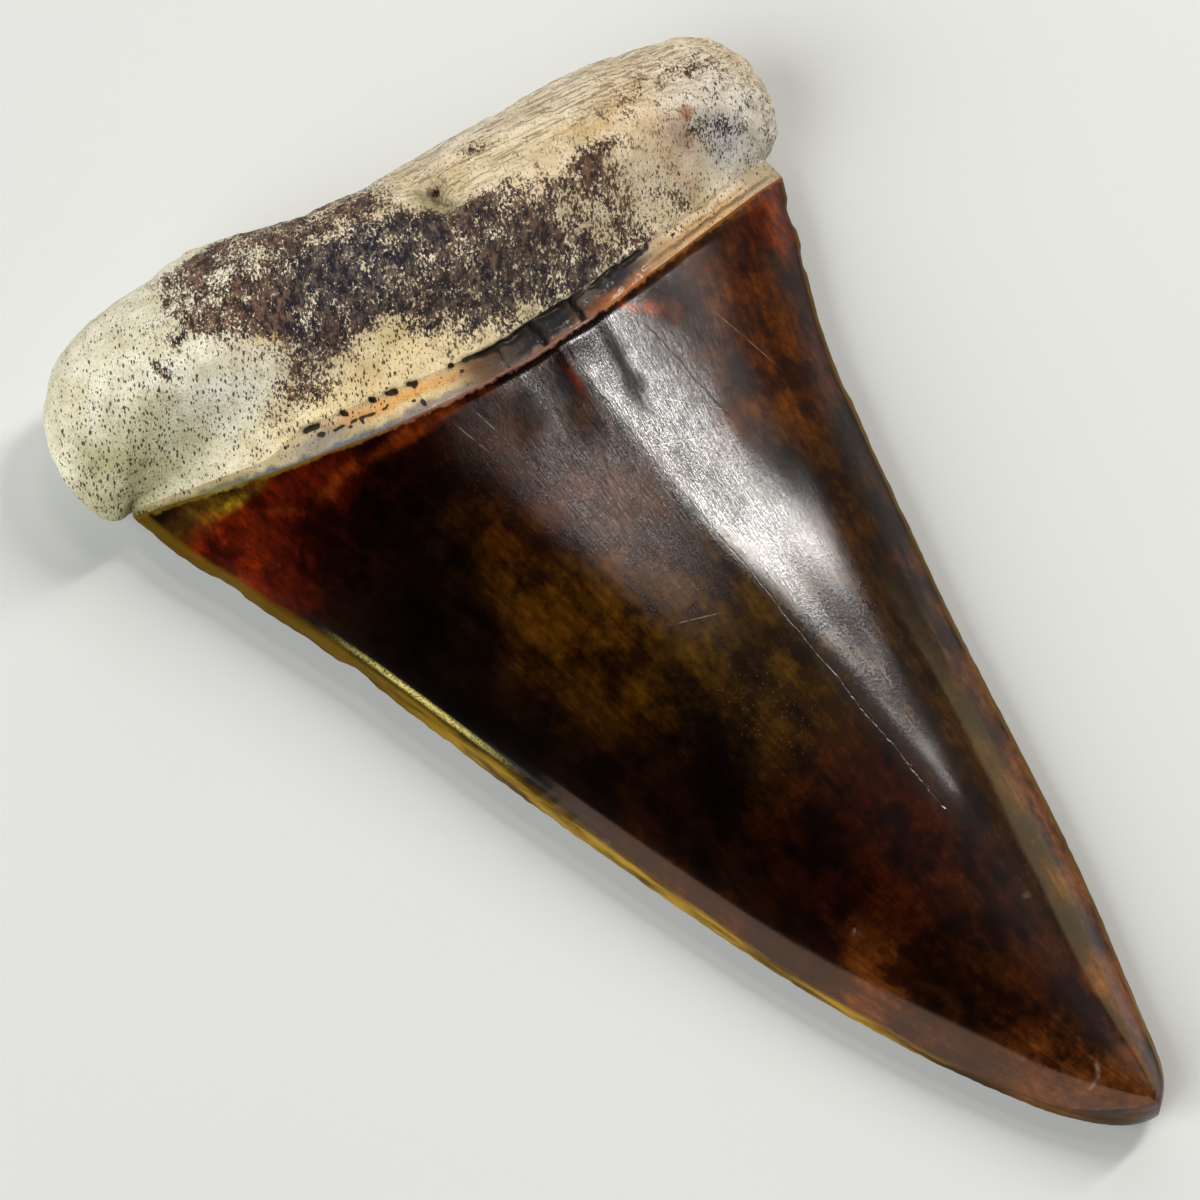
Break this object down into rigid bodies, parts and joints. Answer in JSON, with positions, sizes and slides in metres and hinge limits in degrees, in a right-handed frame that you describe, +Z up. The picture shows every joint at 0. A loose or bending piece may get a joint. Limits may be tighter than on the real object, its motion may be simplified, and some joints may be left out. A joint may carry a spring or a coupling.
{
  "type": "fossil carcharodon hubbelli tooth",
  "caption": "Fossil shark tooth lying on its flat labial face: a broad, leaning, pointed crown on a thick two-lobed root.",
  "frame": {"origin": "middle of the footprint, on the surface the tooth lies on", "axes": "+Y from the crown's tip towards the root, +Z up out of the lingual face, +X across the tooth"},
  "size_m": [0.0458, 0.0682, 0.0127],
  "materials": {
    "tooth": "gloss"
  },
  "bodies": {
    "root": {"tooth": "tooth"}
  },
  "joints": []
}
